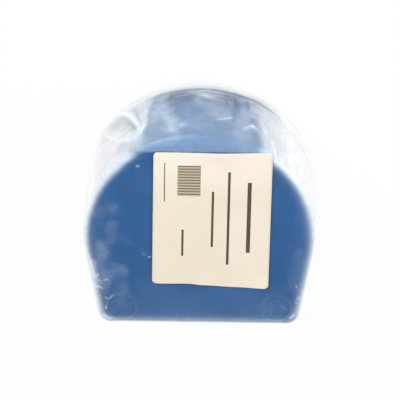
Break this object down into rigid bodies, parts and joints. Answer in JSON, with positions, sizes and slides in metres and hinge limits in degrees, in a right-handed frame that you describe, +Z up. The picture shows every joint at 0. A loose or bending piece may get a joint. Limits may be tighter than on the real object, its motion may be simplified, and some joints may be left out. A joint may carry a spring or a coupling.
{
  "type": "denture case",
  "caption": "D-shaped hinged plastic box for a denture, with a snap latch at its round front, in clear shop film with a blank paper label on the lid.",
  "frame": {"origin": "on the resting plane, straight below the centre of the case's round front", "axes": "+X across the case, +Y towards the flat hinge side, +Z up through the lid; the latch is at -Y"},
  "size_m": [0.0846, 0.0879, 0.0387],
  "materials": {
    "case_plastic": "smooth moulded polypropylene, soft gloss",
    "pin_plastic": "moulded rod, satin",
    "clear_film": "clear crinkled wrapping film, glossy",
    "label_paper": "uncoated cream label paper"
  },
  "bodies": {
    "base": {"base_shell": "case_plastic", "hinge_pin_left": "pin_plastic", "hinge_pin_right": "pin_plastic", "film_lower": "clear_film"},
    "lid": {"lid_shell": "case_plastic", "latch_tongue": "case_plastic", "film_upper": "clear_film", "paper_label": "label_paper"}
  },
  "joints": [
    {"name": "lid_hinge", "type": "hinge", "parent": "base", "child": "lid", "pos_m": [0, 0.0404, 0.024], "axis": [-1, 0, 0], "range_deg": [0, 180], "deforming": ["latch_tongue"]}
  ]
}
